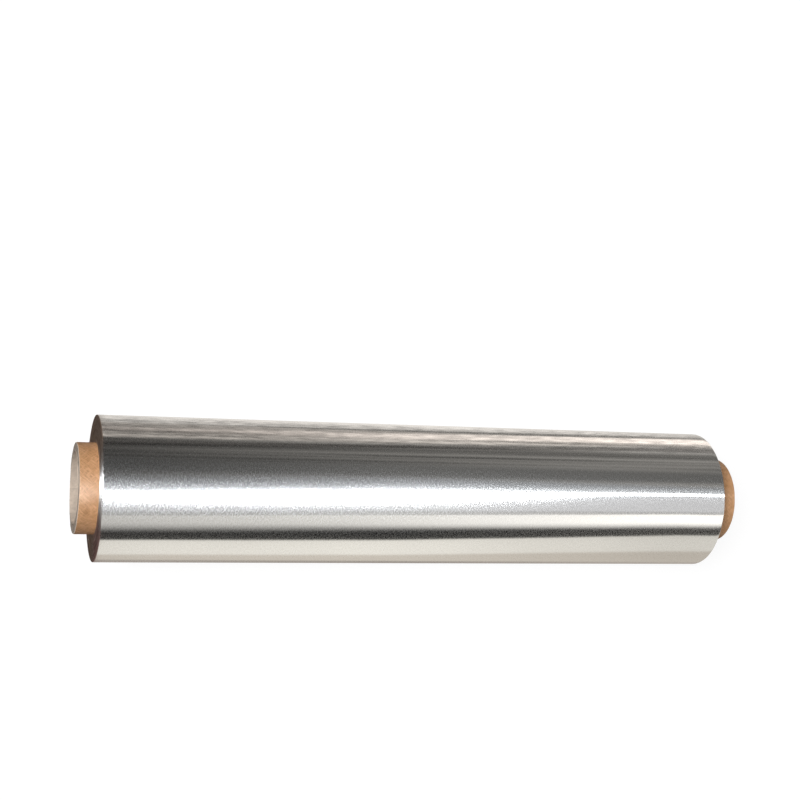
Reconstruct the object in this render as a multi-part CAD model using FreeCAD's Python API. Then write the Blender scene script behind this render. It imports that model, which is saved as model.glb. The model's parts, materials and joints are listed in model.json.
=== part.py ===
import FreeCAD, Part
import math
import os

# Aluminium foil roll: a long strip of kitchen foil wound on a paperboard core.
# The roll lies on its side, with its axis along X and +Z up. The origin is on
# the small flat that it rests on, under the middle of the core. Millimetres.

# Foil strip and the winding it makes
foil_width = 300.0
roll_diameter = 66.0
flat_spot_depth = 0.4
tail_lift = 0.2
tail_angle = -50.0

# Turns that stand out on the two ends of the winding
turn_pitch = 1.0
turn_groove_width = 0.45
turn_groove_depth = 0.3
turn_margin = 1.0

# Paperboard core
core_outer_diameter = 41.0
core_wall = 4.0
core_left_end = 9.0
core_right_end = 13.5
core_edge_break = 0.4

# Sizes that follow from those above
roll_radius = roll_diameter / 2
core_radius = core_outer_diameter / 2
bore_radius = core_radius - core_wall
core_length = core_left_end + foil_width + core_right_end
core_start = -core_length / 2
foil_start = core_start + core_left_end
foil_end = foil_start + foil_width
axis_height = roll_radius - flat_spot_depth

AXIS = FreeCAD.Vector(1, 0, 0)
CENTRE = FreeCAD.Vector(0, 0, 0)


def section_point(x, centre_y, radius, angle):
    """A point of a cross-section, at an angle from +Y towards +Z."""
    y = centre_y + radius * math.cos(angle)
    z = radius * math.sin(angle)
    return FreeCAD.Vector(x, y, z)


def half_turn(x, centre_y, radius, start):
    """Half a circle in a cross-section, from the start angle on."""
    first = section_point(x, centre_y, radius, start)
    middle = section_point(x, centre_y, radius, start + math.pi / 2)
    last = section_point(x, centre_y, radius, start + math.pi)
    return Part.Arc(first, middle, last).toShape()


def spiral(x, first_radius, half_turns):
    """Half circles about two centres, which gain one pitch in every turn."""
    edges = []
    for k in range(half_turns):
        side = 1 if k % 2 else -1
        radius = first_radius + k * turn_pitch / 2
        start = math.pi if k % 2 else 0.0
        edges.append(half_turn(x, side * turn_pitch / 4, radius, start))
    return edges


def turn_groove(x, direction):
    """The spiral hollow between turns on one end, cut in from the plane at x."""
    first_radius = core_radius + turn_margin
    room = roll_radius - turn_margin - turn_groove_width - first_radius
    half_turns = max(1, int(room / (turn_pitch / 2)))
    inner = spiral(x, first_radius, half_turns)
    outer = spiral(x, first_radius + turn_groove_width, half_turns)
    begins = Part.LineSegment(inner[0].valueAt(inner[0].FirstParameter),
                              outer[0].valueAt(outer[0].FirstParameter)).toShape()
    ends = Part.LineSegment(inner[-1].valueAt(inner[-1].LastParameter),
                            outer[-1].valueAt(outer[-1].LastParameter)).toShape()
    rim = Part.Wire(Part.__sortEdges__(inner + outer + [begins, ends]))
    depth = FreeCAD.Vector(direction * turn_groove_depth, 0, 0)
    return Part.Face(rim).extrude(depth)


def winding_outline(x):
    """The outermost turn: it closes in by the lift of its loose edge, the tail."""
    upper = half_turn(x, tail_lift / 4, roll_radius, 0.0)
    lower = half_turn(x, -tail_lift / 4, roll_radius - tail_lift / 2, math.pi)
    edge = Part.LineSegment(lower.valueAt(lower.LastParameter),
                            upper.valueAt(upper.FirstParameter)).toShape()
    return Part.Wire([upper, lower, edge])


def foil_winding():
    """All turns of the foil as one solid, tight on the core."""
    outline = Part.Face(winding_outline(foil_start))
    solid = outline.extrude(FreeCAD.Vector(foil_width, 0, 0))
    start = FreeCAD.Vector(foil_start, 0, 0)
    solid = solid.cut(Part.makeCylinder(core_radius, foil_width, start, AXIS))
    solid = solid.cut(turn_groove(foil_start, 1))
    solid = solid.cut(turn_groove(foil_end, -1))
    solid.rotate(CENTRE, AXIS, tail_angle)
    under = Part.makeBox(foil_width, roll_diameter, roll_radius,
                         FreeCAD.Vector(foil_start, -roll_radius, -axis_height - roll_radius))
    return solid.cut(under)


def core_tube():
    """Spiral-wound paperboard tube, its outer edges pressed back by the cutter."""
    inner_start = FreeCAD.Vector(core_start, 0, 0)
    tube = Part.makeCylinder(core_radius, core_length, inner_start, AXIS)
    tube = tube.makeChamfer(core_edge_break, end_rims(tube))
    return tube.cut(Part.makeCylinder(bore_radius, core_length, inner_start, AXIS))


def end_rims(tube):
    """The two round edges of a solid rod."""
    rims = []
    for edge in tube.Edges:
        round_edge = isinstance(edge.Curve, Part.Circle)
        if round_edge:
            rims.append(edge)
    return rims


def save(name, shape):
    """Lifts a piece from the axis to its resting height and writes it."""
    shape.translate(FreeCAD.Vector(0, 0, axis_height))
    shape.exportStep("parts/" + name + ".step")


os.makedirs("parts", exist_ok=True)
save("core_tube", core_tube())
save("foil_winding", foil_winding())
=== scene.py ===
"""A roll of kitchen foil on its paperboard core, lying on a pale floor."""

import json
import math

import bmesh
import bpy
import numpy as np
from bpy.props import FloatProperty, FloatVectorProperty, IntProperty, PointerProperty
from mathutils import Euler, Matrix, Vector


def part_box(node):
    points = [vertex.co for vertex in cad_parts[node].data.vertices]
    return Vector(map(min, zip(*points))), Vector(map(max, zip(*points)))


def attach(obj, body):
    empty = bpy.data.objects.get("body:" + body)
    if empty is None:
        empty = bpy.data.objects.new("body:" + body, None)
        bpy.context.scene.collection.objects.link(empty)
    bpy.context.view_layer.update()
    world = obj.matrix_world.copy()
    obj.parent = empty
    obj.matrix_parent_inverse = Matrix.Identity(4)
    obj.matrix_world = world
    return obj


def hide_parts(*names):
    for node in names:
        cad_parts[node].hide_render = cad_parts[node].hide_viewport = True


bl_info = {
    "name": "Foil Roll",
    "version": (1, 0, 0),
    "blender": (4, 5, 0),
    "location": "View3D > Sidebar > Foil Roll",
    "description": "Dresses a roll of kitchen foil: the winding, its core and the table it lies on",
    "category": "Add Mesh",
}

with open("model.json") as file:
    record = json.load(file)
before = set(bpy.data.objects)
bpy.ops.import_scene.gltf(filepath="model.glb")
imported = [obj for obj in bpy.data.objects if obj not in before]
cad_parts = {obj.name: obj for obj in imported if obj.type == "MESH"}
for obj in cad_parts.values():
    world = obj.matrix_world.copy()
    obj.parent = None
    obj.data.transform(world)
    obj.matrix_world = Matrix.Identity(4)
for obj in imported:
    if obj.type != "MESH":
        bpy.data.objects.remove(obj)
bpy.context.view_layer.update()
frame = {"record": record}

MM = 0.001

# Places and radii of the two solids, in metres
foil_low, foil_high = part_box("foil_winding")
core_low, core_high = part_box("core_tube")
core_bore = next(m for m in frame["record"]["mounts"] if m["name"] == "core_bore")
AXIS_HEIGHT = core_bore["pos_m"][2]
BORE_RADIUS = core_bore["dims"]["r_mm"] * MM
CORE_RADIUS = (core_high.z - core_low.z) / 2
ROLL_RADIUS = (foil_high.y - foil_low.y) / 2
FULL_TURN = 2 * math.pi


# Settings that a user would change


LENGTH = {"unit": "LENGTH", "precision": 5}


class WindingSettings(bpy.types.PropertyGroup):
    """Sizes and finish of the wound foil."""

    turn_pitch: FloatProperty(
        name="Turn pitch", description="Distance between the turns that stand out on the ends",
        default=1.0 * MM, min=0.3 * MM, max=3 * MM, **LENGTH)
    groove_width: FloatProperty(
        name="Groove width", description="Width of the hollow beside each standing turn",
        default=0.45 * MM, min=0, max=2 * MM, **LENGTH)
    groove_depth: FloatProperty(
        name="Groove depth", description="Depth of the hollow between standing turns",
        default=0.3 * MM, min=0, max=1 * MM, **LENGTH)
    turn_margin: FloatProperty(
        name="Turn margin", description="Plain band beside the core and beside the rim",
        default=1.0 * MM, min=0, max=4 * MM, **LENGTH)
    tail_lift: FloatProperty(
        name="Tail lift", description="Height of the loose edge of the outermost turn",
        default=0.2 * MM, min=0, max=1 * MM, **LENGTH)
    tail_angle: FloatProperty(
        name="Tail angle", description="Where the loose edge lies, from the far side upwards",
        default=math.radians(-50), subtype="ANGLE")
    ridge_depth: FloatProperty(
        name="Ridge depth", description="Height of the shallow ridges that run along the roll",
        default=0.05 * MM, min=0, max=0.5 * MM, **LENGTH)
    dent_depth: FloatProperty(
        name="Dent depth", description="Depth of the deepest small dent in the skin",
        default=0.02 * MM, min=0, max=0.2 * MM, **LENGTH)
    seed: IntProperty(
        name="Seed", description="Picks the places of ridges and dents", default=11, min=0)
    colour: FloatVectorProperty(
        name="Foil colour", description="Colour of the clean rolled foil",
        default=(0.84, 0.835, 0.825), size=3, min=0, max=1, subtype="COLOR")
    grain_size: FloatProperty(
        name="Grain size", description="Length of one speck of the satin grain, along the roll",
        default=0.6 * MM, min=0.1 * MM, max=5 * MM, **LENGTH)
    grain_tilt: FloatProperty(
        name="Grain tilt", description="How far the specks of the grain lean",
        default=0.01, min=0, max=1)
    ripple_size: FloatProperty(
        name="Ripple size", description="Width of the fine ripples that run along the roll",
        default=1.9 * MM, min=0.2 * MM, max=20 * MM, **LENGTH)
    ripple_tilt: FloatProperty(
        name="Ripple tilt", description="How far the ripples lean",
        default=0.012, min=0, max=1)


class CoreSettings(bpy.types.PropertyGroup):
    """Sizes and finish of the paperboard core."""

    plies: IntProperty(
        name="Plies", description="Layers of board that show in the cut ends", default=7, min=2, max=20)
    ply_relief: FloatProperty(
        name="Ply relief", description="How far the layers stand in or out of the cut",
        default=0.09 * MM, min=0, max=0.5 * MM, **LENGTH)
    edge_break: FloatProperty(
        name="Edge break", description="Size of the pressed outer edge",
        default=0.4 * MM, min=0.05 * MM, max=2 * MM, **LENGTH)
    cut_waviness: FloatProperty(
        name="Cut waviness", description="How far the cut wanders from a plane",
        default=0.24 * MM, min=0, max=1 * MM, **LENGTH)
    seed: IntProperty(
        name="Seed", description="Picks the places of the ragged spots", default=5, min=0)
    kraft: FloatVectorProperty(
        name="Kraft colour", description="Colour of the outer wrap of the core",
        default=(0.545, 0.268, 0.102), size=3, min=0, max=1, subtype="COLOR")
    kraft_pale: FloatVectorProperty(
        name="Pale kraft colour", description="Colour of the rubbed patches of the outer wrap",
        default=(0.67, 0.385, 0.21), size=3, min=0, max=1, subtype="COLOR")
    board: FloatVectorProperty(
        name="Board colour", description="Colour of the board inside the bore and in the cut",
        default=(0.64, 0.54, 0.45), size=3, min=0, max=1, subtype="COLOR")
    fibre_size: FloatProperty(
        name="Fibre size", description="Width of one bundle of paper fibres",
        default=0.55 * MM, min=0.05 * MM, max=3 * MM, **LENGTH)


class StudioSettings(bpy.types.PropertyGroup):
    """Camera, lamps and floor."""

    lens: FloatProperty(
        name="Lens", description="Focal length in millimetres for a sensor 36 mm wide", default=66.585)
    camera_place: FloatVectorProperty(
        name="Camera place", description="Where the camera stands, above and beyond the left end",
        default=(-0.22886, 0, 0.70399), size=3, subtype="TRANSLATION")
    camera_turn: FloatVectorProperty(
        name="Camera turn", description="Rotation of the camera, which looks down on the roll",
        default=(math.radians(3.2896), math.radians(-18.1732), math.radians(1.0831)), size=3,
        subtype="EULER")
    sun_strength: FloatProperty(
        name="Sun strength", description="Irradiance of the main lamp over pi", default=1.02, min=0)
    end_strength: FloatProperty(
        name="End lamp strength", description="Irradiance of the lamp at the right end over pi",
        default=0.24, min=0)
    room_light: FloatProperty(
        name="Room light", description="Plain light from all round", default=0.11, min=0)
    floor_colour: FloatVectorProperty(
        name="Floor colour", description="Colour of the pale floor",
        default=(0.15, 0.15, 0.15), size=3, min=0, max=1, subtype="COLOR")
    floor_glow: FloatProperty(
        name="Floor glow", description="White that the camera and mirrors see on top of it",
        default=0.90, min=0)


# Nodes of the materials


def place(tree, kind, inputs=None, **settings):
    """Adds a node, sets it up, and joins or fills its inputs."""
    node = tree.nodes.new(kind)
    for name, value in settings.items():
        setattr(node, name, value)
    fill(tree, node, inputs or {})
    return node


def fill(tree, node, inputs):
    """Joins or fills the named inputs of a node."""
    for name, value in inputs.items():
        feed(tree, node.inputs[name], value)


def feed(tree, socket, value):
    """Joins a socket to another one, or gives it a plain value."""
    if isinstance(value, bpy.types.NodeSocket):
        tree.links.new(value, socket)
    elif isinstance(value, bpy.types.Node):
        tree.links.new(value.outputs[0], socket)
    else:
        socket.default_value = value


def math_node(tree, operation, *values, kind="ShaderNodeMath"):
    """The result of a sum, product or other operation on values."""
    return place(tree, kind, dict(enumerate(values)), operation=operation).outputs[0]


def vector_node(tree, operation, *values):
    """The same for vectors."""
    return math_node(tree, operation, *values, kind="ShaderNodeVectorMath")


def blend_colour(tree, factor, first, second, mode="MIX"):
    """Two colours mixed by a factor."""
    node = place(tree, "ShaderNodeMix", {"Factor": factor, "A": first, "B": second},
                 data_type="RGBA", blend_type=mode)
    return node.outputs["Result"]


def stepped(tree, value, low, high, to_low=0.0, to_high=1.0):
    """A value eased from one range to another."""
    node = place(tree, "ShaderNodeMapRange", {
        "Value": value, "From Min": low, "From Max": high, "To Min": to_low, "To Max": to_high},
        interpolation_type="SMOOTHSTEP")
    return node.outputs["Result"]


def bumped(tree, height, strength, distance):
    """The normal of a surface that is raised by a height."""
    return place(tree, "ShaderNodeBump", {
        "Height": height, "Strength": strength, "Distance": distance})


def round_tangent(tree):
    """The direction that points away from the roll's axis."""
    return place(tree, "ShaderNodeTangent", direction_type="RADIAL", axis="X")


def rgba(colour, factor=1.0):
    """A colour with its alpha, made lighter or darker."""
    return (*(min(1.0, c * factor) for c in colour), 1.0)


VECTOR = "NodeSocketVector"
FLOAT = "NodeSocketFloat"


def new_group(name, inputs, outputs):
    """An empty shader group with named sockets."""
    tree = bpy.data.node_groups.new(name, "ShaderNodeTree")
    for socket, kind, value in inputs:
        made = tree.interface.new_socket(socket, in_out="INPUT", socket_type=kind)
        if value is not None:
            made.default_value = value
    for socket, kind in outputs:
        tree.interface.new_socket(socket, in_out="OUTPUT", socket_type=kind)
    return tree, tree.nodes.new("NodeGroupInput"), tree.nodes.new("NodeGroupOutput")


def use_group(tree, name, **inputs):
    """Places a group in a tree with its own values."""
    node = place(tree, "ShaderNodeGroup", node_tree=bpy.data.node_groups[name])
    for socket, value in inputs.items():
        feed(tree, node.inputs[socket.replace("_", " ")], value)
    return node


def round_position_group():
    """Place on the roll: how far along it, around it and out from its axis."""
    tree, _, out = new_group("Round Position", [], [("Vector", VECTOR)])
    where = place(tree, "ShaderNodeTexCoord")
    parts = place(tree, "ShaderNodeSeparateXYZ", {"Vector": where.outputs["Object"]})
    up = math_node(tree, "SUBTRACT", parts.outputs["Z"], AXIS_HEIGHT)
    side = parts.outputs["Y"]
    squares = math_node(tree, "ADD", math_node(tree, "MULTIPLY", side, side),
                        math_node(tree, "MULTIPLY", up, up))
    away = math_node(tree, "SQRT", squares)
    angle = math_node(tree, "ARCTAN2", side, up)
    around = math_node(tree, "MULTIPLY", angle, away)
    vector = place(tree, "ShaderNodeCombineXYZ", {"X": parts.outputs["X"], "Y": around, "Z": away})
    feed(tree, out.inputs["Vector"], vector)


def stretched_noise_group():
    """Noise with its own grain size along each direction of the round position."""
    tree, given, out = new_group("Stretched Noise", [
        ("Vector", VECTOR, None), ("Size", VECTOR, (0.001, 0.001, 0.001)),
        ("Detail", FLOAT, 2.0), ("Roughness", FLOAT, 0.5)],
        [("Value", FLOAT)])
    scaled = vector_node(tree, "DIVIDE", given.outputs["Vector"], given.outputs["Size"])
    noise = place(tree, "ShaderNodeTexNoise", {
        "Vector": scaled, "Scale": 1.0, "Detail": given.outputs["Detail"],
        "Roughness": given.outputs["Roughness"]})
    feed(tree, out.inputs["Value"], noise.outputs[0])


# Length along the roll and width around it of both grains, as shares of their size
GRAIN_SHAPES = {"Speck": (1.0, 2.2), "Ripple": (16.0, 1.0)}


def rolled_grain_group():
    """Surface of rolled foil: small leaning specks, and fine ripples that run along the roll."""
    tree, given, out = new_group("Rolled Grain", [
        ("Vector", VECTOR, None), ("Speck", FLOAT, 0.0006),
        ("Speck Tilt", FLOAT, 0.1), ("Ripple", FLOAT, 0.002),
        ("Ripple Tilt", FLOAT, 0.02)],
        [("Normal", VECTOR), ("Grain", FLOAT)])
    tilts = []
    grains = []
    for kind, (along, around) in GRAIN_SHAPES.items():
        length = math_node(tree, "MULTIPLY", given.outputs[kind], along)
        width = math_node(tree, "MULTIPLY", given.outputs[kind], around)
        scale = place(tree, "ShaderNodeCombineXYZ", {"X": length, "Y": width, "Z": 1.0})
        scaled = vector_node(tree, "DIVIDE", given.outputs["Vector"], scale)
        noise = place(tree, "ShaderNodeTexNoise", {
            "Vector": scaled, "Scale": 1.0, "Detail": 1.0, "Roughness": 0.5})
        centred = vector_node(tree, "SUBTRACT", noise.outputs["Color"], (0.5, 0.5, 0.5))
        tilts.append(place(tree, "ShaderNodeVectorMath", {
            0: centred, "Scale": given.outputs[kind + " Tilt"]}, operation="SCALE"))
        grains.append(noise.outputs[0])
    both = vector_node(tree, "ADD", *tilts)
    smooth = place(tree, "ShaderNodeNewGeometry")
    leant = vector_node(tree, "ADD", smooth.outputs["Normal"], both)
    unit = vector_node(tree, "NORMALIZE", leant)
    fill(tree, out, {"Normal": unit, "Grain": grains[0]})


# Which way each layer of strands is turned, and how far it is moved
STRAND_LAYERS = ((1.0, 0.0), (-1.0, 0.37))
# Length of a strand and width of a mottled patch, as shares of the strand's width
STRAND_LENGTH = 6.0
PATCH_WIDTH = 9.0


def paper_fibre_group():
    """Felted paper fibres: a fine mottle, and longer fibres that cross in two directions."""
    tree, given, out = new_group("Paper Fibre", [
        ("Vector", VECTOR, None), ("Fibre", FLOAT, 0.0004),
        ("Slant", FLOAT, 0.9)],
        [("Mottle", FLOAT), ("Fibres", FLOAT), ("Relief", FLOAT)])
    values = []
    for sign, shift in STRAND_LAYERS:
        angle = math_node(tree, "MULTIPLY", given.outputs["Slant"], sign)
        turned = place(tree, "ShaderNodeVectorRotate", {
            "Vector": given.outputs["Vector"], "Angle": angle}, rotation_type="Z_AXIS")
        long_way = math_node(tree, "MULTIPLY", given.outputs["Fibre"], STRAND_LENGTH)
        size = place(tree, "ShaderNodeCombineXYZ", {
            "X": long_way, "Y": given.outputs["Fibre"], "Z": given.outputs["Fibre"]})
        moved = vector_node(tree, "ADD", turned, (shift, shift, shift))
        strand = use_group(tree, "Stretched Noise", Vector=moved, Size=size, Detail=3.0)
        values.append(strand.outputs[0])
    fibres = math_node(tree, "MAXIMUM", values[0], values[1])
    wide = math_node(tree, "MULTIPLY", given.outputs["Fibre"], PATCH_WIDTH)
    patch = place(tree, "ShaderNodeCombineXYZ", {"X": wide, "Y": wide, "Z": wide})
    mottle = use_group(tree, "Stretched Noise", Vector=given.outputs["Vector"], Size=patch, Detail=4.0,
                       Roughness=0.62)
    relief = math_node(tree, "ADD", fibres, math_node(tree, "MULTIPLY", mottle.outputs[0], 0.6))
    fill(tree, out, {"Mottle": mottle, "Fibres": fibres, "Relief": relief})


def build_groups():
    """All shared node groups, once."""
    round_position_group()
    stretched_noise_group()
    rolled_grain_group()
    paper_fibre_group()


def new_material(name):
    """A material with an empty Principled shader."""
    material = bpy.data.materials.new(name)
    material.use_nodes = True
    tree = material.node_tree
    tree.nodes.clear()
    shader = tree.nodes.new("ShaderNodeBsdfPrincipled")
    output = tree.nodes.new("ShaderNodeOutputMaterial")
    tree.links.new(shader.outputs[0], output.inputs["Surface"])
    return material, tree, shader


# Noise sizes along the roll, around it and out from its axis
CLOUD_SIZE = (0.06, 0.03, 1.0)
RING_SIZE = (0.02, 0.02, 0.00016)
BAND_SIZE = (0.05, 0.05, 0.0011)
# How bright a speck is, and over what range of grain it turns bright
SPECK_GAIN = (1.08, 1.08, 1.08, 1.0)
SPECK_RANGE = (0.44, 0.56)
# Wide sheen: its range of grain, then its weights off and on a speck
SHEEN_WEIGHTS = (0.44, 0.55, 0.58, 1.0)
SHEEN_ROUGHNESS = 0.30
SHEEN_IOR = 2.95
# The gloss is drawn out across the tangent
QUARTER_TURN = 0.25


def foil_skin_material(winding):
    """Satin face of rolled foil: a sharp mirror under a wide sheen that changes from speck to speck."""
    material, tree, shader = new_material("foil_skin")
    where = use_group(tree, "Round Position")
    surface = use_group(tree, "Rolled Grain", Vector=where, Speck=winding.grain_size,
                        Speck_Tilt=winding.grain_tilt, Ripple=winding.ripple_size,
                        Ripple_Tilt=winding.ripple_tilt)
    cloud = use_group(tree, "Stretched Noise", Vector=where, Size=CLOUD_SIZE, Detail=3.0)
    tone = stepped(tree, cloud, 0.3, 0.7)
    shade = blend_colour(tree, tone, rgba(winding.colour, 0.96), rgba(winding.colour, 1.01))
    speck = stepped(tree, surface.outputs["Grain"], *SPECK_RANGE)
    shade = blend_colour(tree, speck, shade, SPECK_GAIN, "MULTIPLY")
    fill(tree, shader, {
        "Base Color": shade,
        "Roughness": stepped(tree, surface.outputs["Grain"], 0.3, 0.7, 0.08, 0.10),
        "Coat Weight": stepped(tree, surface.outputs["Grain"], *SHEEN_WEIGHTS),
        "Coat Roughness": SHEEN_ROUGHNESS, "Coat IOR": SHEEN_IOR,
        "Normal": surface.outputs["Normal"], "Tangent": round_tangent(tree),
        "Metallic": 1.0, "Anisotropic": 0.3, "Anisotropic Rotation": QUARTER_TURN})
    return material


def foil_edge_material(winding):
    """Cut edges of the turns, stacked side by side into fine rings."""
    material, tree, shader = new_material("foil_edges")
    where = use_group(tree, "Round Position")
    rings = use_group(tree, "Stretched Noise", Vector=where, Size=RING_SIZE, Detail=2.0,
                      Roughness=0.7)
    bands = use_group(tree, "Stretched Noise", Vector=where, Size=BAND_SIZE, Detail=2.0)
    tone = stepped(tree, bands, 0.3, 0.7)
    shade = blend_colour(tree, tone, rgba(winding.colour, 0.80), rgba(winding.colour, 0.98))
    lines = stepped(tree, rings, 0.32, 0.48)
    shade = blend_colour(tree, lines, rgba(winding.colour, 0.62), shade)
    fill(tree, shader, {
        "Base Color": shade,
        "Roughness": stepped(tree, rings, 0.3, 0.7, 0.74, 0.62),
        "Normal": bumped(tree, rings, 0.6, 0.03 * MM), "Tangent": round_tangent(tree),
        "Metallic": 1.0, "Anisotropic": 1.0, "Anisotropic Rotation": QUARTER_TURN})
    return material


def kraft_material(core):
    """Brown wrap of the core, rubbed paler in patches."""
    material, tree, shader = new_material("core_kraft")
    where = use_group(tree, "Round Position")
    fibre = use_group(tree, "Paper Fibre", Vector=where, Fibre=core.fibre_size, Slant=0.8)
    patch = stepped(tree, fibre.outputs["Mottle"], 0.3, 0.75, 0.25, 0.6)
    shade = blend_colour(tree, patch, rgba(core.kraft), rgba(core.kraft_pale))
    strand = stepped(tree, fibre.outputs["Fibres"], 0.54, 0.70, 0.0, 0.8)
    shade = blend_colour(tree, strand, shade, rgba(core.kraft_pale, 1.12))
    dark = stepped(tree, fibre.outputs["Fibres"], 0.42, 0.54, 0.6, 0.0)
    shade = blend_colour(tree, dark, shade, rgba(core.kraft, 0.7))
    fill(tree, shader, {
        "Base Color": shade,
        "Roughness": stepped(tree, fibre.outputs["Mottle"], 0.3, 0.7, 0.55, 0.46),
        "Normal": bumped(tree, fibre.outputs["Relief"], 0.5, 0.06 * MM),
        "Specular IOR Level": 0.85})
    return material


def board_material(core, name, fibre_scale, tone, darkest, relief):
    """Grey board as it shows inside the core or in its cut ends, where a lower tone is partly painted
    shade.
    """
    material, tree, shader = new_material(name)
    where = use_group(tree, "Round Position")
    fibre = use_group(tree, "Paper Fibre", Vector=where, Fibre=core.fibre_size * fibre_scale, Slant=0.6)
    patch = stepped(tree, fibre.outputs["Mottle"], 0.34, 0.68)
    shade = blend_colour(tree, patch, rgba(core.board, 0.82 * tone), rgba(core.board, 1.12 * tone))
    pit = stepped(tree, fibre.outputs["Fibres"], 0.36, 0.52, 0.6, 0.0)
    shade = blend_colour(tree, pit, shade, rgba(core.board, darkest))
    fill(tree, shader, {
        "Base Color": shade,
        "Roughness": stepped(tree, fibre.outputs["Mottle"], 0.3, 0.7, 0.95, 0.8),
        "Normal": bumped(tree, fibre.outputs["Relief"], 0.7, relief),
        "Specular IOR Level": 0.3})
    return material


# Meshes


# Points nearer than this are the same point
JOIN_DISTANCE = 1e-6


def add_object(name, data):
    """An object of the scene with the given data."""
    made = bpy.data.objects.new(name, data)
    bpy.context.scene.collection.objects.link(made)
    return made


def mesh_object(name, points, faces, material_of_face, materials, sharp_angle):
    """A closed mesh object: points that lie together are joined, and hard edges stay hard."""
    mesh = bpy.data.meshes.new(name)
    mesh.from_pydata(points.tolist(), [], faces.tolist())
    mesh.polygons.foreach_set("material_index", material_of_face)
    for material in materials:
        mesh.materials.append(material)
    work = bmesh.new()
    work.from_mesh(mesh)
    bmesh.ops.remove_doubles(work, verts=work.verts, dist=JOIN_DISTANCE)
    bmesh.ops.recalc_face_normals(work, faces=work.faces)
    work.to_mesh(mesh)
    work.free()
    mesh.polygons.foreach_set("use_smooth", [True] * len(mesh.polygons))
    mesh.set_sharp_from_angle(angle=sharp_angle)
    return add_object(name, mesh)


def grid_faces(rows, columns, start=0):
    """Quads of a grid of points that was stored row by row."""
    row, column = np.meshgrid(np.arange(rows - 1), np.arange(columns - 1), indexing="ij")
    corner = (start + row * columns + column).ravel()
    return np.stack([corner, corner + 1, corner + columns + 1, corner + columns], axis=1)


def round_points(along, radius, angle):
    """Points at a distance from the roll's axis, at angles from the far side upwards."""
    y = radius * np.cos(angle)
    z = AXIS_HEIGHT + radius * np.sin(angle)
    return np.stack([along.ravel(), y.ravel(), z.ravel()], axis=1)


# Winding


AROUND = 288
# Width of a groove's wall on the ends, as a share of the pitch
RISE = 0.05
# Waves of the skin and of the rim: how many go round, and from which count on they fade
RIDGE_WAVES = ((3, 4, 7, 11, 18, 26, 37, 45), 16.0)
RIM_WAVES = ((1, 2, 3, 5, 9, 14, 23), 6.0)
RIM_REACH = 0.18 * MM
# Small dents of the skin: their number, and their lengths and widths in millimetres
DENTS = 70
DENT_LENGTHS = (2.5, 9.0)
DENT_WIDTHS = (1.5, 4.0)
# Sharpest bend that is still shaded as smooth
FOIL_SMOOTH_ANGLE = math.radians(32)


def turn_rows(winding):
    """Places of the rows within one turn, and how deep each one lies."""
    land = 1 - winding.groove_width / winding.turn_pitch
    places = np.array([RISE, land / 2, land - RISE, land + RISE, (1 + land) / 2, 1 - RISE])
    depths = np.array([0.0, 0.0, 0.0, 1.0, 0.9, 1.0])
    return places, depths


def outline_radius(winding, turned):
    """Distance of the outermost turn from the axis, at angles counted from its loose edge."""
    shift = winding.tail_lift / 4
    rise = shift * np.sin(turned)
    reach = shift * np.cos(turned)
    first_half = np.sqrt(ROLL_RADIUS ** 2 - rise ** 2) + reach
    inner = ROLL_RADIUS - winding.tail_lift / 2
    second_half = np.sqrt(inner ** 2 - rise ** 2) - reach
    return np.where(turned <= math.pi, first_half, second_half)


def flattened(radius, angle):
    """Radii held back where the roll rests on the floor."""
    down = np.maximum(-np.sin(angle), 1e-6)
    return np.minimum(radius, AXIS_HEIGHT / down)


def wander(dice, around, along, counts, reach):
    """A smooth height from 0 to 1 made of waves round the roll that drift along it."""
    total = np.zeros(np.broadcast(around, along).shape)
    weight = 0.0
    for count in counts:
        strength = 1 / (1 + count / reach)
        phase, drift = dice.uniform(0, FULL_TURN), dice.uniform(-14, 14)
        swell, pace = dice.uniform(0, FULL_TURN), dice.uniform(6, 30)
        wave = np.sin(count * around + phase + drift * along)
        total += strength * wave * (0.75 + 0.25 * np.sin(pace * along + swell))
        weight += strength
    return 0.5 + 0.5 * total / weight


def skin_hollows(winding, turned, along):
    """How far the skin lies inside its outline: ridges along the roll and small dents."""
    dice = np.random.default_rng(winding.seed)
    ridges = wander(dice, turned, along, *RIDGE_WAVES)
    hollow = winding.ridge_depth * ridges
    for _ in range(DENTS):
        centre_x = dice.uniform(foil_low.x, foil_high.x)
        centre_a = dice.uniform(0, FULL_TURN)
        length = dice.uniform(*DENT_LENGTHS) * MM
        width = dice.uniform(*DENT_WIDTHS) * MM
        depth = winding.dent_depth * dice.uniform(0.2, 1.0)
        off = (turned - centre_a + math.pi) % FULL_TURN - math.pi
        far = ((along - centre_x) / length) ** 2 + (off * ROLL_RADIUS / width) ** 2
        hollow = hollow + depth * np.exp(-far)
    return hollow


def skin_radius(winding, turned, along):
    """Radius of the finished skin."""
    angle = turned + winding.tail_angle
    radius = outline_radius(winding, turned) - skin_hollows(winding, turned, along)
    return flattened(radius, angle)


# Distances from the rim where the rounded edge has its rows, and how far each is drawn in
RIM_ROWS = ((0.0, 0.16 * MM), (0.05 * MM, 0.06 * MM), (0.14 * MM, 0.015 * MM), (0.35 * MM, 0.0))
SKIN_ROWS = 150


def rim_wander(winding, turned, side):
    """How far the rim wanders along the roll, the same at both ends of a full turn."""
    dice = np.random.default_rng(winding.seed + (3 if side > 0 else 4))
    return (wander(dice, turned, np.zeros(1), *RIM_WAVES) - 0.6) * RIM_REACH


def skin_stations():
    """Places along the roll of the skin's rows, and how far the rim draws each one in."""
    left = [(foil_low.x + step, inset) for step, inset in RIM_ROWS]
    right = [(foil_high.x - step, inset) for step, inset in reversed(RIM_ROWS)]
    first, last = left[-1][0], right[0][0]
    middle = [(x, 0.0) for x in np.linspace(first, last, SKIN_ROWS)[1:-1]]
    rows = np.array(left + middle + right)
    return rows[:, 0], rows[:, 1]


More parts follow.
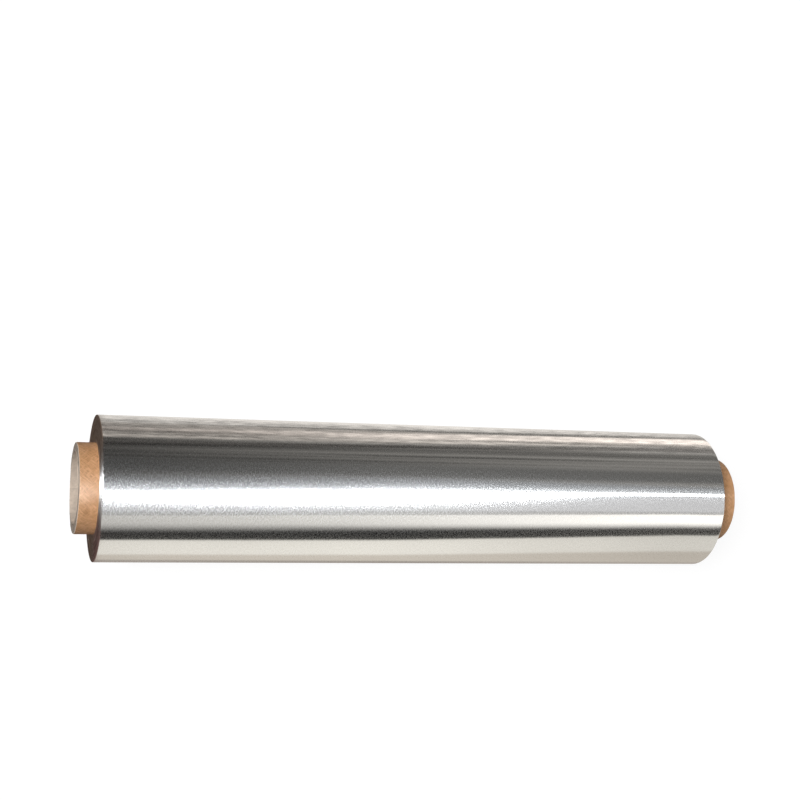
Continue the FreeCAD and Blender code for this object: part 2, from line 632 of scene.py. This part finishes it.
def skin_part(winding, turned):
    """The skin's points, row by row from end to end."""
    places, insets = skin_stations()
    along = np.repeat(places[:, None], len(turned), axis=1)
    radius = skin_radius(winding, turned[None, :], along) - insets[:, None]
    rims = {-1: rim_wander(winding, turned, -1), 1: rim_wander(winding, turned, 1)}
    for row in range(len(RIM_ROWS)):
        hold = 1 - row / len(RIM_ROWS)
        along[row] -= hold * rims[-1]
        along[-1 - row] += hold * rims[1]
    angle = np.repeat(turned[None, :] + winding.tail_angle, len(places), axis=0)
    return round_points(along, radius, angle), along, radius


# Turns over which the groove runs out, and how far the ends swell and lie back
GROOVE_RUN_OUT = 0.2
END_SWELL = 0.05 * MM
END_SET_BACK = 0.04 * MM
INNER_SET_BACK = 0.1 * MM


def end_part(winding, turned, side, rim_along, rim_radius):
    """One end of the winding. Its rows follow the spiral, so that each runs on in the next turn."""
    places, depths = turn_rows(winding)
    turns = math.ceil((ROLL_RADIUS - CORE_RADIUS) / winding.turn_pitch) + 1
    start = (np.arange(turns)[:, None] - 1 + places[None, :]).ravel()
    depth = np.tile(depths, turns)
    wound = start[:, None] + turned[None, :] / FULL_TURN
    radius = CORE_RADIUS + winding.turn_pitch * wound
    first = winding.turn_margin / winding.turn_pitch
    room = ROLL_RADIUS - CORE_RADIUS - winding.turn_margin - winding.groove_width
    last = room / winding.turn_pitch
    opening = np.clip((wound - first) / GROOVE_RUN_OUT, 0, 1)
    open_share = opening * np.clip((last - wound) / GROOVE_RUN_OUT, 0, 1)
    swell = np.sin(1.9 * wound + 0.4) + np.sin(5.3 * wound + 1.0)
    stand = END_SWELL * swell - END_SET_BACK
    stand = stand - winding.groove_depth * depth[:, None] * open_share
    face = foil_high.x if side > 0 else foil_low.x
    along = face + side * stand
    outside = radius >= rim_radius[None, :]
    inside = radius <= CORE_RADIUS
    radius = np.where(outside, rim_radius[None, :], np.maximum(radius, CORE_RADIUS))
    along = np.where(outside, rim_along[None, :], along)
    along = np.where(inside, face - side * INNER_SET_BACK, along)
    edge_row = int(np.max(np.nonzero(~outside[:, 0])[0]))
    radius[edge_row, 0] = rim_radius[-1]
    along[edge_row, 0] = rim_along[-1]
    angle = np.repeat(turned[None, :] + winding.tail_angle, len(start), axis=0)
    per_turn = len(places)
    rows, columns = radius.shape
    index = np.arange(rows * columns).reshape(rows, columns)
    for row in range(rows):
        index[row, -1] = index[min(row + per_turn, edge_row), 0]
    quads = np.stack([index[:-1, :-1], index[:-1, 1:], index[1:, 1:], index[1:, :-1]], axis=-1)
    return round_points(along, radius, angle), quads.reshape(-1, 4), along[0, 0]


def winding_mesh(winding):
    """Points and faces of the whole winding, and which of the two finishes each face has."""
    turned = np.linspace(0, FULL_TURN, AROUND + 1)
    skin, along, radius = skin_part(winding, turned)
    rows, columns = along.shape
    points = [skin]
    faces = [grid_faces(rows, columns)]
    finish = [0] * len(faces[0])
    # The loose edge joins the last column of the skin to its first
    first = np.arange(rows - 1) * columns
    tail = np.stack([first, first + columns, first + 2 * columns - 1, first + columns - 1], axis=1)
    faces.append(tail)
    finish += [1] * len(tail)
    count = len(skin)
    inner_along = {}
    for side, row in ((-1, 0), (1, -1)):
        part, quads, inner_along[side] = end_part(winding, turned, side, along[row], radius[row])
        points.append(part)
        faces.append(quads + count)
        finish += [1] * len(quads)
        count += len(part)
    angle = np.repeat(turned[None, :] + winding.tail_angle, 2, axis=0)
    ends = np.repeat(np.array([[inner_along[-1]], [inner_along[1]]]), columns, axis=1)
    points.append(round_points(ends, np.full(ends.shape, CORE_RADIUS), angle))
    faces.append(grid_faces(2, columns, count))
    finish += [1] * len(faces[-1])
    return np.concatenate(points), np.concatenate(faces), finish


class FOILROLL_OT_winding(bpy.types.Operator):
    """Builds the wound foil: its satin skin, its loose edge and the turns on both ends"""

    bl_idname = "foilroll.winding"
    bl_label = "Wound Foil"

    def execute(self, context):
        winding = context.scene.foil_winding
        points, faces, finish = winding_mesh(winding)
        materials = [foil_skin_material(winding), foil_edge_material(winding)]
        made = mesh_object("foil_turns", points, faces, finish, materials, FOIL_SMOOTH_ANGLE)
        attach(made, "root")
        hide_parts("foil_winding")
        return {"FINISHED"}


# Core


CORE_AROUND = 240
CORE_SMOOTH_ANGLE = math.radians(50)
# Waves that shape the cut, its torn plies, the outer wall and the bore
CUT_WAVES = ((1, 2, 4, 7, 11, 17, 29), 9.0)
PLY_WAVES = ((2, 5, 9, 15, 26, 41), 20.0)
WALL_WAVES = ((2, 3, 5, 8), 6.0)
BORE_WAVES = ((2, 3, 5, 9), 6.0)
WALL_SWELL = 0.03 * MM
BORE_SWELL = 0.05 * MM
RAGGED = 0.012 * MM
# Rows of one ply in the cut: where they lie across it, and how far they drop back
PLY_ROWS = ((0.08, 0.0), (0.5, 0.0), (0.86, 0.0), (0.97, 0.07 * MM))
# Rows of the pressed edge: how far in from the end, and how much of the break is left there
EDGE_ROWS = (0.25, 0.6, 1.0, 1.6)
EDGE_INSETS = {0: 0.62, 1: 0.25, 2: 0.06, 3: 0.0}
# The finishes of the core, in the order of its materials
KRAFT, CUT, BORE = range(3)


def cut_wander(core, angle, side):
    """How far a cut end wanders from a plane, round the core."""
    dice = np.random.default_rng(core.seed + (1 if side > 0 else 2))
    return (wander(dice, angle, np.zeros(1), *CUT_WAVES) - 1.0) * core.cut_waviness * 2


def cut_rows(core, angle, side):
    """Rows of one cut end from its outer edge to the bore: along, radius and finish."""
    dice = np.random.default_rng(core.seed + (7 if side > 0 else 8))
    face = core_high.x if side > 0 else core_low.x
    cut = cut_wander(core, angle, side)
    ply = (CORE_RADIUS - core.edge_break - BORE_RADIUS) / core.plies
    rows = []
    for number in range(core.plies):
        outer = CORE_RADIUS - core.edge_break - number * ply
        torn = wander(dice, angle, np.zeros(1), *PLY_WAVES)
        stand = cut - core.ply_relief * torn * 2
        for share, drop in PLY_ROWS:
            ragged = dice.normal(0, RAGGED, len(angle))
            along = face + side * (stand - drop + ragged)
            rows.append((along, np.full(len(angle), outer - share * ply), CUT))
    return rows


def core_wall_rows(core, angle):
    """Rows of the outer wall, from the left end to the right end."""
    dice = np.random.default_rng(core.seed)
    edge = core.edge_break
    left = [core_low.x + edge * share for share in EDGE_ROWS]
    right = [core_high.x - edge * share for share in reversed(EDGE_ROWS)]
    shown_left = np.linspace(left[-1], foil_low.x + 1 * MM, 16)[1:]
    hidden = np.linspace(foil_low.x + 1 * MM, foil_high.x - 1 * MM, 6)[1:]
    shown_right = np.linspace(foil_high.x - 1 * MM, right[0], 20)[1:-1]
    swell = wander(dice, angle, np.zeros(1), *WALL_WAVES)
    rows = []
    places = [*left, *shown_left, *hidden, *shown_right, *right]
    for number, x in enumerate(places):
        from_end = min(number, len(places) - 1 - number)
        inset = edge * EDGE_INSETS.get(from_end, 0.0)
        side = -1 if number < len(places) / 2 else 1
        hold = max(0.0, 1 - from_end / 4)
        along = x + side * cut_wander(core, angle, side) * hold
        finish = BORE if from_end < 2 else KRAFT
        rows.append((along, CORE_RADIUS - inset - WALL_SWELL * swell, finish))
    return rows


def bore_rows(core, angle):
    """Rows of the bore, from the right end to the left end."""
    dice = np.random.default_rng(core.seed + 20)
    reach = (core_high.x - core_low.x) / 2
    depths = reach * np.linspace(0.003, 1, 26) ** 1.6
    places = [*(core_high.x - depths), *(core_low.x + depths[::-1])[1:]]
    swell = wander(dice, angle, np.zeros(1), *BORE_WAVES)
    rows = []
    for x in places:
        rows.append((np.full(len(angle), x), BORE_RADIUS + BORE_SWELL * swell, BORE))
    return rows


def core_mesh(core):
    """Points and faces of the core, a closed ring section carried all the way round."""
    angle = np.linspace(0, FULL_TURN, CORE_AROUND, endpoint=False)
    rows = core_wall_rows(core, angle)
    rows += cut_rows(core, angle, 1)
    rows += bore_rows(core, angle)
    rows += cut_rows(core, angle, -1)[::-1]
    along = np.stack([row[0] for row in rows])
    radius = np.stack([row[1] for row in rows])
    points = round_points(along, radius, np.repeat(angle[None, :], len(rows), axis=0))
    index = np.arange(along.size).reshape(along.shape)
    down = np.roll(index, -1, axis=0)
    right = np.roll(index, -1, axis=1)
    both = np.roll(down, -1, axis=1)
    faces = np.stack([index, right, both, down], axis=-1).reshape(-1, 4)
    finish = np.repeat([row[2] for row in rows], CORE_AROUND)
    return points, faces, finish.tolist()


class FOILROLL_OT_core(bpy.types.Operator):
    """Builds the paperboard core with its brown wrap, its cut plies and its grey bore"""

    bl_idname = "foilroll.core"
    bl_label = "Paperboard Core"

    def execute(self, context):
        core = context.scene.foil_core
        points, faces, finish = core_mesh(core)
        materials = [
            kraft_material(core),
            # The cut ends get half the bore's tone and darker pits: partly the darker cut board, partly
            # painted shade for the cut face that looks sideways
            board_material(core, "core_cut", 0.6, 0.5, 0.25, 0.08 * MM),
            board_material(core, "core_bore", 1.3, 1.0, 0.75, 0.05 * MM),
        ]
        made = mesh_object("core_board", points, faces, finish, materials, CORE_SMOOTH_ANGLE)
        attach(made, "root")
        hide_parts("core_tube")
        return {"FINISHED"}


# Stage


# Radius of the canopy about the roll's axis, its length to either side, and its height off the floor
CANOPY_RADIUS = 0.125
CANOPY_REACH = 0.75
MAT_HEIGHT = 0.4 * MM
# Its points round the roll, and the stretch along the roll where they lie closest
CANOPY_COLUMNS = 640
CLOSE_ROWS = (-0.165, 0.215, 201)
# Places along the roll for which the panels are given: left, middle and right
STATIONS = (-0.135, 0.011, 0.177)
# The panels are painted reflection: glow that only gloss sees, laid out by mirror angle. Each panel:
# its two edges as mirror angles from straight up, at the three places, its glow there, how soft
# its two edges are in degrees, and its tint. Later panels lie over earlier ones
PANELS = (
    # Near side, from the floor up: the floor as the foil mirrors it, darker towards the roll with
    # painted shadow
    ((-180, -180, -180), (-86, -82, -66.5), (0.82, 0.90, 0.70), (1, 5), (1.0, 0.965, 0.885)),
    ((-180, -180, -180), (-124, -121, -105), (0.60, 0.64, 0.52), (1, 9), (1.0, 0.915, 0.80)),
    ((-180, -180, -180), (-146, -148, -150), (0.38, 0.34, 0.45), (1, 8), (1.0, 0.90, 0.81)),
    # Near side, above the dark strip
    ((-63, -57, -48), (-41, -34, -27), (0.54, 0.82, 1.35), ((20, 17, 14), 2), (1.0, 0.975, 0.925)),
    ((-41, -34, -27), (-36, -29, -23), (0.38, 0.47, 0.46), (2, 3), (1.0, 0.985, 0.96)),
    # Overhead, round the lamp
    ((-20, -20, -20), (14, 26, 20), (0.24, 0.29, 0.26), (2, (24, 22, 10)), (0.94, 0.98, 1.03)),
    ((-36, -29, -23), (-17, -11, 4), (0.44, 0.60, 0.63), (3, 6), (0.985, 0.985, 1.0)),
    ((28, 28, 27), (50, 50, 48), (0.05, 0.12, 0.12), (8, 12), (1.0, 0.98, 0.94)),
    ((-15, -11, 3), (-8, 5, 15), (1.25, 1.25, 0.45), ((15, 22, 6), (17, 30, 6)), (0.96, 0.99, 1.02)),
    # Far side, down to the floor
    ((71, 80, 90), (79, 87, 99), (0.055, 0.075, 0.14), (4, 4), (1.0, 0.94, 0.88)),
    ((88, 91, 102), (128, 125, 124), (0.30, 0.36, 0.62), (5, 5), (1.0, 0.92, 0.84)),
    ((102, 102, 112), (113, 117, 130), (0.34, 0.76, 1.25), (6, 7), (1.0, 0.90, 0.82)),
    ((127, 132, 136), (180, 180, 180), (0.74, 0.86, 0.66), (9, 1), (1.0, 0.95, 0.89)),
)
CLOTH_GLOW = (0.070, 0.180, 0.26)
CLOTH_TINT = (1.0, 0.96, 0.90)
STRIP_GLOW = (0.010, 0.004, 0.026)
STRIP_TINT = (1.0, 0.92, 0.83)
# Fine threads in the cloth, and how strongly its creases darken and brighten it
THREADS = 110
CREASE_DEPTH = 0.5
# Size of one crease along the canopy and round it, and how many are drawn each way
CREASE_LENGTH = 3.4 * MM
CREASE_DEGREES = 1.8
CREASE_TABLE = (800, 260)
# Where the canopy's pale part ends on the left and on the right, and over what length
LEFT_END = foil_low.x + 10 * MM
LEFT_FADE = 14 * MM
RIGHT_END = 0.34
RIGHT_FADE = 0.05
# Light of its dark ends, painted shade that the end faces mirror: on the far side, and redder on the
# near side
END_SHADE_GLOW = (0.15, 0.105, 0.08)
RED_SHADE_GLOW = (0.165, 0.095, 0.085)
# The lamp hangs a little below the canopy: place along the roll, its two edges as mirror angles, glow
LAMP_ROWS = (
    (-0.60, 5, 23, 15.0), (-0.25, 5, 23, 15.0), (-0.190, 5, 22, 15.0), (-0.176, -15, -9, 42.0),
    (-0.135, -15, -9, 42.0), (-0.0915, -15, -7, 37.0), (-0.04, -14, -4, 32.0),
    (-0.0146, -13, -2, 29.0), (0.011, -11, 0, 26.0), (0.04, -8.5, 2, 23.0), (0.07, -5, 4, 17.0),
    (0.094, -2, 5.5, 11.0), (0.118, 2, 7, 7.0), (0.141, 4, 8, 5.5), (0.177, 5, 9, 5.0),
    (0.75, 5, 9, 5.0),
)
LAMP_TINT = (0.96, 0.99, 1.02)
LAMP_DROP = 3 * MM
# The two lamps that light the floor and the board: where each stands, and its spread in degrees
MAIN_LAMP = ((-0.59, 0.1, 0.80), 30.0)
RIGHT_LAMP = ((0.98, -0.15, 0.1), 40.0)
FLOOR_REACH = 6.0


def drift(along, values):
    """A value that changes along the roll as given at the three stations."""
    return np.interp(along, STATIONS, np.broadcast_to(values, len(STATIONS)))


def eased(value):
    """A share from 0 to 1 with soft ends."""
    held = np.clip(value, 0, 1)
    return held * held * (3 - 2 * held)


def threads(dice, degrees, along, count):
    """Fine lines of light and dark that run along the canopy."""
    total = np.ones(degrees.shape)
    for _ in range(count):
        centre = dice.uniform(48, 148)
        width = dice.uniform(0.8, 2.2) * (1 + max(0, centre - 80) / 60)
        slope = dice.uniform(-12, 12)
        strength = dice.uniform(-0.6, 0.55) * (0.4 if centre > 105 else 1.0)
        swell = 0.6 + 0.4 * np.sin(dice.uniform(8, 30) * along + dice.uniform(0, FULL_TURN))
        wave = np.sin(dice.uniform(300, 900) * along + dice.uniform(0, FULL_TURN))
        bend = slope * along + dice.uniform(0.3, 1.4) * wave * max(0, centre - 70) / 50
        total *= 1 + strength * swell * np.exp(-((degrees - centre - bend) / width) ** 2)
    return total


def creases(dice, degrees, along):
    """Short flat creases side by side, each from -1 to 1, with soft borders."""
    lean = degrees + 40 * along
    across = (along + 1) / CREASE_LENGTH + 0.25 * lean
    down = (lean + 200) / CREASE_DEGREES
    table = dice.uniform(-1, 1, CREASE_TABLE)
    column, row = across.astype(int), down.astype(int)
    blend_across, blend_down = eased(across - column), eased(down - row)
    first = table[column, row] * (1 - blend_across) + table[column + 1, row] * blend_across
    second = table[column, row + 1] * (1 - blend_across) + table[column + 1, row + 1] * blend_across
    return first * (1 - blend_down) + second * blend_down


def painted_reflection_glow(mirror, along):
    """Light from each point of the canopy, a painted reflection: dark cloth with paler panels laid on
    it, and painted shadow of the floor near the roll.
    """
    dice = np.random.default_rng(2)
    degrees = np.degrees(mirror)
    cloth = drift(along, CLOTH_GLOW)[..., None] * np.array(CLOTH_TINT)
    strip = drift(along, STRIP_GLOW)[..., None] * np.array(STRIP_TINT)
    light = np.where(degrees[..., None] > -20, cloth, strip)
    for low_edge, high_edge, glow, soft, tint in PANELS:
        rise = eased((degrees - drift(along, low_edge)) / drift(along, soft[0]) + 0.5)
        fall = eased((drift(along, high_edge) - degrees) / drift(along, soft[1]) + 0.5)
        cover = (rise * fall)[..., None]
        light = light * (1 - cover) + drift(along, glow)[..., None] * np.array(tint) * cover
    light *= threads(dice, degrees, along, THREADS)[..., None]
    creased = eased((degrees - 80) / 12) * eased((160 - degrees) / 10)
    light *= 1 + (CREASE_DEPTH * creased * creases(dice, degrees, along))[..., None]
    # Beyond the foil's ends and low down the canopy turns dark brown: painted shadow of the floor
    # beside the ends, as the end faces mirror it
    beyond = eased((LEFT_END - along) / LEFT_FADE) + eased((along - RIGHT_END) / RIGHT_FADE)
    low_down = eased((np.abs(degrees) - 60) / 30)
    shade = (beyond * low_down)[..., None]
    tint = np.where(degrees[..., None] > 0, END_SHADE_GLOW, RED_SHADE_GLOW)
    return light * (1 - shade) + tint * shade


def canopy_point(mirror, radius=CANOPY_RADIUS):
    """Where a ray lands that leaves the roll's skin at that mirror angle, across and up."""
    half = mirror / 2
    to_arch = np.sqrt(radius ** 2 - (ROLL_RADIUS * np.sin(half)) ** 2) - ROLL_RADIUS * np.cos(half)
    start = AXIS_HEIGHT + ROLL_RADIUS * np.cos(half)
    fall = np.maximum(-np.cos(mirror), 1e-6)
    reach = np.minimum(to_arch, (start - MAT_HEIGHT) / fall)
    y = ROLL_RADIUS * np.sin(half) + reach * np.sin(mirror)
    return y, start + reach * np.cos(mirror)


def gloss_only(name, parts, sampling):
    """A glowing thing of the stage, made of grids of points with their light, that only gloss sees."""
    points, faces, colours, count = [], [], [], 0
    for grid, light in parts:
        points.append(grid.reshape(-1, 3))
        colours.append(light.reshape(-1, 3))
        faces.append(grid_faces(grid.shape[0], grid.shape[1], count))
        count += grid.shape[0] * grid.shape[1]
    mesh = bpy.data.meshes.new(name)
    mesh.from_pydata(np.concatenate(points).tolist(), [], np.concatenate(faces).tolist())
    glow = mesh.attributes.new("glow", "FLOAT_COLOR", "POINT")
    glow.data.foreach_set("color", np.column_stack([np.concatenate(colours), np.ones(count)]).ravel())
    material = bpy.data.materials.new(name)
    material.use_nodes = True
    material.cycles.emission_sampling = sampling
    tree = material.node_tree
    tree.nodes.clear()
    colour = place(tree, "ShaderNodeAttribute", attribute_name="glow")
    shine = place(tree, "ShaderNodeEmission", {"Color": colour.outputs["Color"], "Strength": 1.0})
    place(tree, "ShaderNodeOutputMaterial", {"Surface": shine})
    mesh.materials.append(material)
    made = add_object(name, mesh)
    for ray in ("camera", "diffuse", "shadow", "transmission", "volume_scatter"):
        setattr(made, "visible_" + ray, False)
    return made


def canopy():
    """A tunnel over the roll that only gloss sees: a painted reflection of cloth, light panels and
    shaded floor.
    """
    near = np.linspace(*CLOSE_ROWS)
    beyond = np.linspace(0.04, 0.5, 12)
    along = np.concatenate([near[0] - beyond[::-1], near, near[-1] + beyond])[:, None]
    along[0], along[-1] = -CANOPY_REACH, CANOPY_REACH
    rows = len(along)
    mirror = np.radians(np.linspace(-179, 179, CANOPY_COLUMNS))[None, :]
    y, z = canopy_point(mirror)
    light = painted_reflection_glow(np.repeat(mirror, rows, axis=0), np.repeat(along, CANOPY_COLUMNS, axis=1))
    sheet = np.stack(np.broadcast_arrays(along, y, z), axis=-1)
    parts = [(sheet, light)]
    # Curtains close both ends, darker towards the floor, and a dark sheet that only gloss sees closes
    # the gap under the roll: painted shadow of the floor under the roll
    draw = np.linspace(1, 0, 12)[:, None]
    for side in (-1, 1):
        height = AXIS_HEIGHT + draw * (z - AXIS_HEIGHT)
        curtain = np.stack(np.broadcast_arrays(side * CANOPY_REACH, draw * y, height), axis=-1)
        paler = 1 + 2.2 * eased(height / CANOPY_RADIUS)
        parts.append((curtain, paler[..., None] * np.array(END_SHADE_GLOW)))
    across = np.linspace(y[0, 0], y[0, -1], 5)[None, :]
    shadow_runner = np.stack(np.broadcast_arrays(along, across, MAT_HEIGHT), axis=-1)
    parts.append((shadow_runner, np.broadcast_to(np.array(END_SHADE_GLOW), shadow_runner.shape)))
    return gloss_only("canopy", parts, "NONE")


def long_lamp():
    """The bright lamp along the top of the canopy."""
    along, low_edge, high_edge, strength = (column[:, None] for column in np.array(LAMP_ROWS).T)
    mirror = low_edge + (high_edge - low_edge) * np.linspace(0, 1, 4)
    y, z = canopy_point(np.radians(mirror), CANOPY_RADIUS - LAMP_DROP)
    grid = np.stack(np.broadcast_arrays(along, y, z), axis=-1)
    glow = np.broadcast_to(strength, mirror.shape)[..., None] * np.array(LAMP_TINT)
    return gloss_only("long_lamp", [(grid, glow)], "FRONT_BACK")


def seen_plainly(tree):
    """1 for rays from the camera, from gloss and through glass, and 0 for rays that light things."""
    path = place(tree, "ShaderNodeLightPath")
    seen = math_node(tree, "MAXIMUM", path.outputs["Is Camera Ray"], path.outputs["Is Glossy Ray"])
    return math_node(tree, "MAXIMUM", seen, path.outputs["Is Transmission Ray"])


def floor(studio):
    """A wide pale floor that keeps the roll's shadow."""
    mesh = bpy.data.meshes.new("floor")
    corners = [(x * FLOOR_REACH, y * FLOOR_REACH, 0) for x, y in ((-1, -1), (1, -1), (1, 1), (-1, 1))]
    mesh.from_pydata(corners, [], [(0, 1, 2, 3)])
    material, tree, shader = new_material("floor")
    fill(tree, shader, {
        "Base Color": rgba(studio.floor_colour), "Roughness": 1.0, "Specular IOR Level": 0.0})
    glow = place(tree, "ShaderNodeEmission", {"Strength": math_node(
        tree, "MULTIPLY", seen_plainly(tree), studio.floor_glow)})
    both = place(tree, "ShaderNodeAddShader", {0: shader, 1: glow})
    output = next(n for n in tree.nodes if n.type == "OUTPUT_MATERIAL")
    feed(tree, output.inputs["Surface"], both)
    mesh.materials.append(material)
    return add_object("floor", mesh)


def sun(name, strength, towards, spread):
    """A lamp far away, which lights all of the floor alike and puts no streak in the gloss."""
    lamp = bpy.data.lights.new(name, "SUN")
    lamp.energy = strength * math.pi
    lamp.angle = math.radians(spread)
    made = add_object(name, lamp)
    made.rotation_euler = Vector(towards).to_track_quat("Z", "Y").to_euler()
    made.visible_glossy = False


def room(studio):
    """White for what is seen, and plain light for what is lit."""
    world = bpy.data.worlds.new("room")
    world.use_nodes = True
    tree = world.node_tree
    tree.nodes.clear()
    seen = seen_plainly(tree)
    strength = math_node(tree, "ADD", studio.room_light,
                         math_node(tree, "MULTIPLY", seen, 1.0 - studio.room_light))
    shine = place(tree, "ShaderNodeBackground", {"Strength": strength, "Color": (1, 1, 1, 1)})
    place(tree, "ShaderNodeOutputWorld", {"Surface": shine})
    bpy.context.scene.world = world


def camera(studio):
    """The camera looks down on the roll from beyond its left end."""
    lens = bpy.data.cameras.new("camera")
    lens.sensor_width = 36.0
    lens.lens = studio.lens
    made = add_object("camera", lens)
    made.location = studio.camera_place
    made.rotation_euler = Euler(studio.camera_turn, "XYZ")
    bpy.context.scene.camera = made


class FOILROLL_OT_stage(bpy.types.Operator):
    """Sets the floor, the lamps, the canopy that the foil mirrors and the camera"""

    bl_idname = "foilroll.stage"
    bl_label = "Floor, Lamps and Camera"

    def execute(self, context):
        studio = context.scene.foil_studio
        floor(studio)
        canopy()
        long_lamp()
        sun("main_lamp", studio.sun_strength, *MAIN_LAMP)
        sun("right_lamp", studio.end_strength, *RIGHT_LAMP)
        room(studio)
        camera(studio)
        context.scene.view_settings.view_transform = "Standard"
        return {"FINISHED"}


class FOILROLL_PT_panel(bpy.types.Panel):
    """Lists the steps that dress the roll"""

    bl_idname = "FOILROLL_PT_panel"
    bl_label = "Foil Roll"
    bl_space_type = "VIEW_3D"
    bl_region_type = "UI"
    bl_category = "Foil Roll"

    def draw(self, context):
        scene = context.scene
        steps = ((FOILROLL_OT_winding, scene.foil_winding), (FOILROLL_OT_core, scene.foil_core),
                 (FOILROLL_OT_stage, scene.foil_studio))
        for step, settings in steps:
            box = self.layout.box()
            for name in settings.bl_rna.properties.keys():
                if name not in ("rna_type", "name"):
                    box.prop(settings, name)
            box.operator(step.bl_idname)


CLASSES = (
    WindingSettings, CoreSettings, StudioSettings,
    FOILROLL_OT_winding, FOILROLL_OT_core, FOILROLL_OT_stage, FOILROLL_PT_panel,
)


def register():
    """Makes the steps and their settings known."""
    for made in CLASSES:
        bpy.utils.register_class(made)
    bpy.types.Scene.foil_winding = PointerProperty(type=WindingSettings)
    bpy.types.Scene.foil_core = PointerProperty(type=CoreSettings)
    bpy.types.Scene.foil_studio = PointerProperty(type=StudioSettings)


def unregister():
    """Takes them away again."""
    del bpy.types.Scene.foil_winding
    del bpy.types.Scene.foil_core
    del bpy.types.Scene.foil_studio
    for made in reversed(CLASSES):
        bpy.utils.unregister_class(made)


def main():
    """Dresses the roll and sets the stage."""
    register()
    build_groups()
    bpy.ops.foilroll.winding()
    bpy.ops.foilroll.core()
    bpy.ops.foilroll.stage()


if __name__ == "__main__":
    main()
